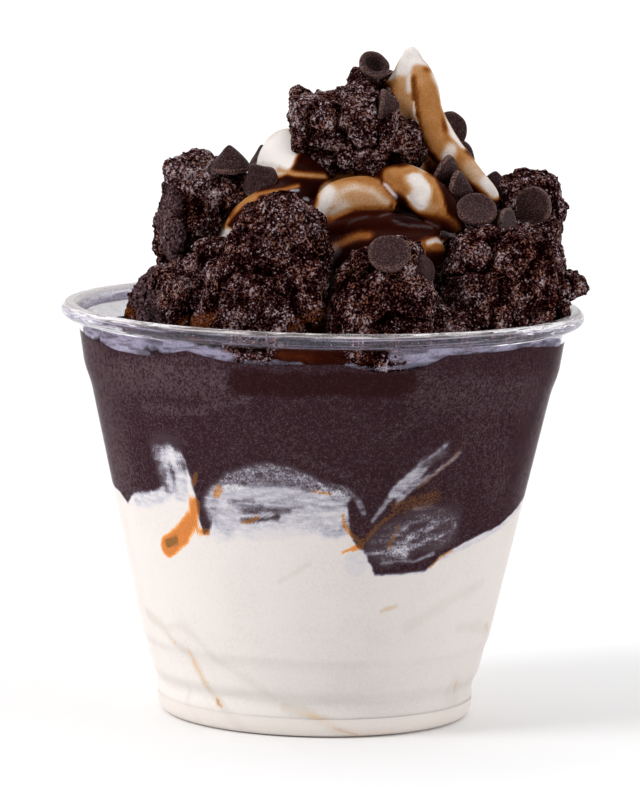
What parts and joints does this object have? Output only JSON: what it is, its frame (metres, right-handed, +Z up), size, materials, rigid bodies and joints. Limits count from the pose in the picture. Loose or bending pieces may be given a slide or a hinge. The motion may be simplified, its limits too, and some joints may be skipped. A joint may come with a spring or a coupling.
{
  "type": "sundae",
  "caption": "Layered soft-serve sundae in a clear squat cup, heaped with a syruped swirl, torn brownie chunks and chocolate chips.",
  "frame": {"origin": "centre of the cup's foot, on the surface it stands on", "axes": "+Z up along the cup's axis; -Y faces the viewer of the picture, +X to its right"},
  "size_m": [0.0931, 0.092, 0.1184],
  "materials": {
    "clear_plastic": "clear glossy thermoformed plastic",
    "vanilla_cream": "smooth satin cream",
    "chocolate_cream": "smooth satin cream",
    "syruped_cream": "soft cream under glossy dark syrup",
    "brownie": "rough crumb",
    "chocolate_chip": "satin"
  },
  "bodies": {
    "root": {"cup": "clear_plastic", "vanilla_layer": "vanilla_cream", "chip_ring": "chocolate_chip", "chip_peak_side": "chocolate_chip", "chip_left_upright": "chocolate_chip", "chip_left_lying": "chocolate_chip", "chip_behind_shoulder": "chocolate_chip", "chip_right_high": "chocolate_chip", "chip_right_middle": "chocolate_chip", "chip_right_low": "chocolate_chip", "chip_fold_high": "chocolate_chip", "chip_fold_low": "chocolate_chip", "chip_disc": "chocolate_chip", "chip_sliver": "chocolate_chip", "chip_right_brownie": "chocolate_chip", "chip_front_disc": "chocolate_chip", "chip_front_cone": "chocolate_chip", "chip_back_left": "chocolate_chip", "chip_back_middle": "chocolate_chip", "chip_back_right": "chocolate_chip", "chip_back_low": "chocolate_chip", "chip_back_high": "chocolate_chip", "chip_left_back": "chocolate_chip", "brownie_top": "brownie", "brownie_crest": "brownie", "brownie_left_tall": "brownie", "brownie_left_crumb": "brownie", "brownie_left_low": "brownie", "brownie_front_left": "brownie", "brownie_front_centre": "brownie", "brownie_front_right": "brownie", "brownie_right_side": "brownie", "brownie_right_back": "brownie", "brownie_spike": "brownie", "brownie_slab": "brownie", "brownie_wall_left": "brownie", "brownie_wall_centre": "brownie", "brownie_back_left": "brownie", "brownie_back_centre": "brownie", "brownie_back_right": "brownie", "brownie_back_low": "brownie", "brownie_back_high": "brownie", "chocolate_layer": "chocolate_cream", "swirl": "syruped_cream"}
  },
  "joints": []
}
